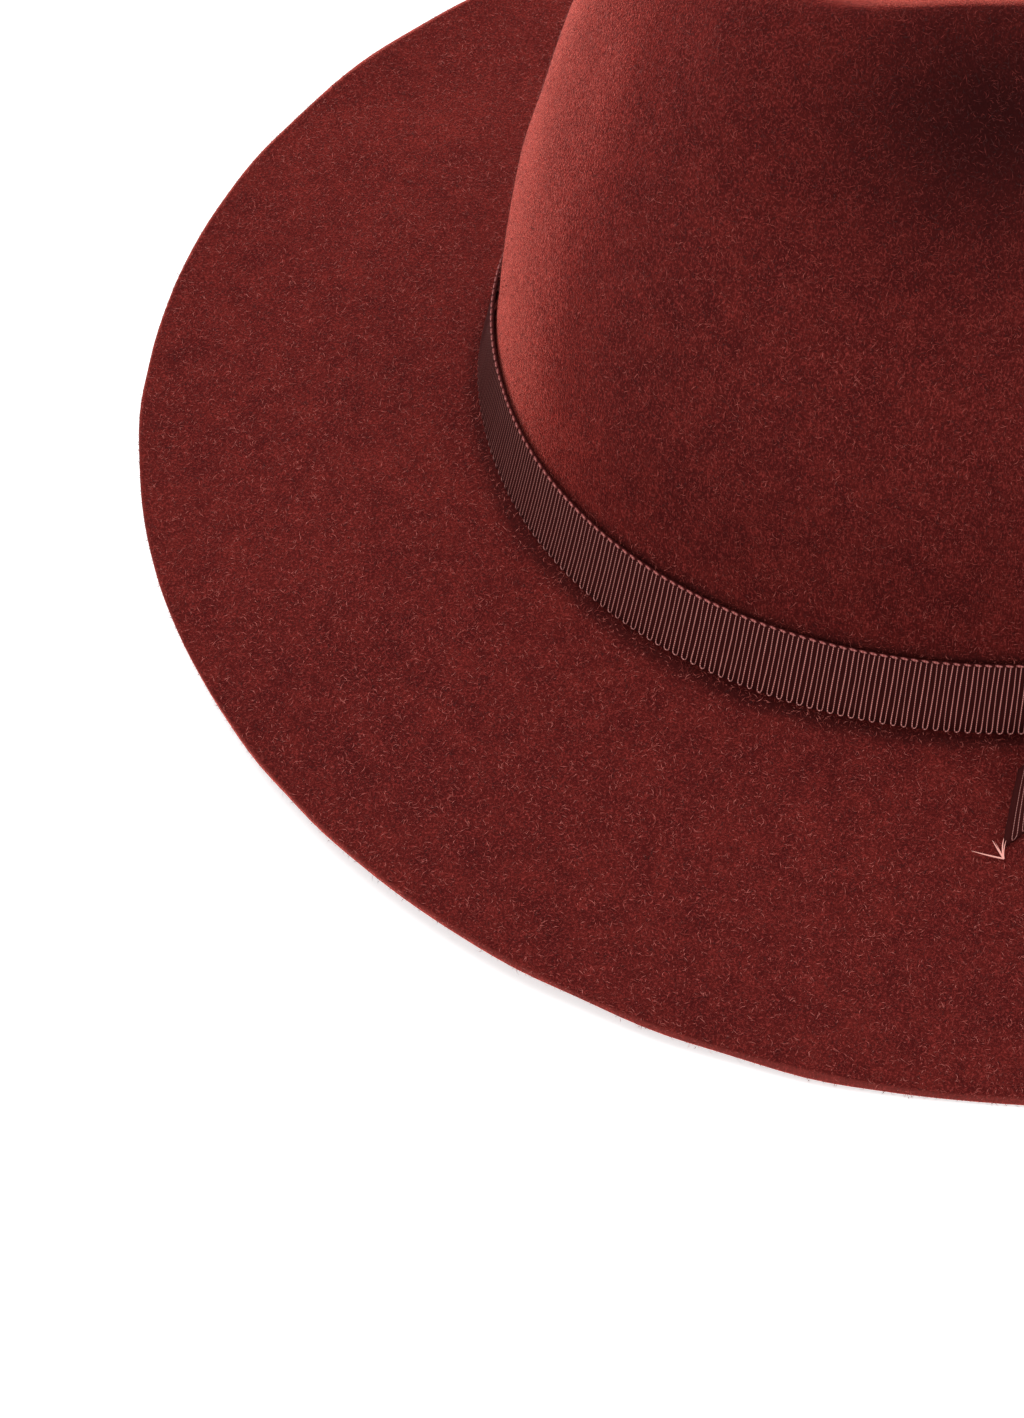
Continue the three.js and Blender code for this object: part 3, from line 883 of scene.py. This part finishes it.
# Painted highlight on the crest of each rib, only where the thread faces the viewer; the flanks
# keep the dark colour.
crest = spread(tree, flat_parts["Z"],
               GROUND + 0.3 * THREAD_RADIUS, GROUND + 0.85 * THREAD_RADIUS)
facing_us = calculate(tree, "SUBTRACT", 1.0, add_node(
    tree, "ShaderNodeLayerWeight", {"Blend": 0.5}).outputs["Facing"])
painted_crest_highlight = calculate(tree, "MULTIPLY", crest, spread(tree, facing_us, 0.42, 0.82))
rib_colour = blend_colours(tree, painted_crest_highlight, colour("380a09"), with_painted_beads)
on_cap = spread(tree, flat_parts["Y"], RIBBON_WIDTH - 0.6, RIBBON_WIDTH - 0.4)
thread_colour = blend_colours(tree, scaled(tree, on_cap, 0.7), rib_colour, colour("7a3432"))
thread_bump = add_node(tree, "ShaderNodeBump", {"Height": twist, "Strength": 0.5,
                                               "Distance": 0.08 * MM}).outputs[0]
finish_material(tree, Base_Color=thread_colour, Roughness=0.6, Specular_IOR_Level=0.2,
                Normal=thread_bump)

core_material, tree = new_material("pale_cotton_core")
finish_material(tree, Base_Color=colour("f0aca0"), Roughness=0.6, Specular_IOR_Level=0.3)
frayed_threads.data.materials.append(core_material)

for piece in bpy.data.objects:
    if piece.name.endswith("_ground"):
        piece.data.materials.append(ground_material)
    elif piece.name.endswith("_ribs"):
        piece.data.materials.append(thread_material)

# %% [markdown]
# The table is a plain white sheet that is lit until nothing is left of its shadows but a faint
# one under the brim. The hat stands in a white room that lights it evenly from all sides, and
# one large lamp above it, a little to the left, adds some direction.

# %% Table and light
bpy.ops.mesh.primitive_plane_add(size=12, location=(0, 0, 0))
table = bpy.context.active_object
table.name = "white_table"
white, tree = new_material("white_paper")
finish_material(tree, Base_Color=colour("e0e0e0"), Roughness=0.9,
                Emission_Color=colour("ffffff"), Emission_Strength=0.56)
table.data.materials.append(white)

LAMP_PLACE, LAMP_AIM = Vector((-0.35, -0.65, 2.15)), Vector((0, 0, 0.05))
lamp_data = bpy.data.lights.new("big_softbox", "AREA")
lamp_data.shape = "DISK"
lamp_data.size = 1.2
lamp_data.energy = 24
lamp = bpy.data.objects.new("big_softbox", lamp_data)
bpy.context.scene.collection.objects.link(lamp)
lamp.location = LAMP_PLACE
lamp.rotation_euler = (LAMP_AIM - LAMP_PLACE).to_track_quat("-Z", "Y").to_euler()

world = bpy.data.worlds.new("white_room")
world.use_nodes = True
tree = world.node_tree
tree.nodes.clear()
seen = add_node(tree, "ShaderNodeLightPath").outputs["Is Camera Ray"]
strength = add_node(tree, "ShaderNodeMapRange", {0: seen, 3: 0.97, 4: 1.0}).outputs[0]
white_air = add_node(tree, "ShaderNodeBackground",
                     {"Color": colour("ffffff"), "Strength": strength})
add_node(tree, "ShaderNodeOutputWorld", {"Surface": white_air.outputs[0]})
bpy.context.scene.world = world
bpy.context.scene.view_settings.view_transform = "Standard"
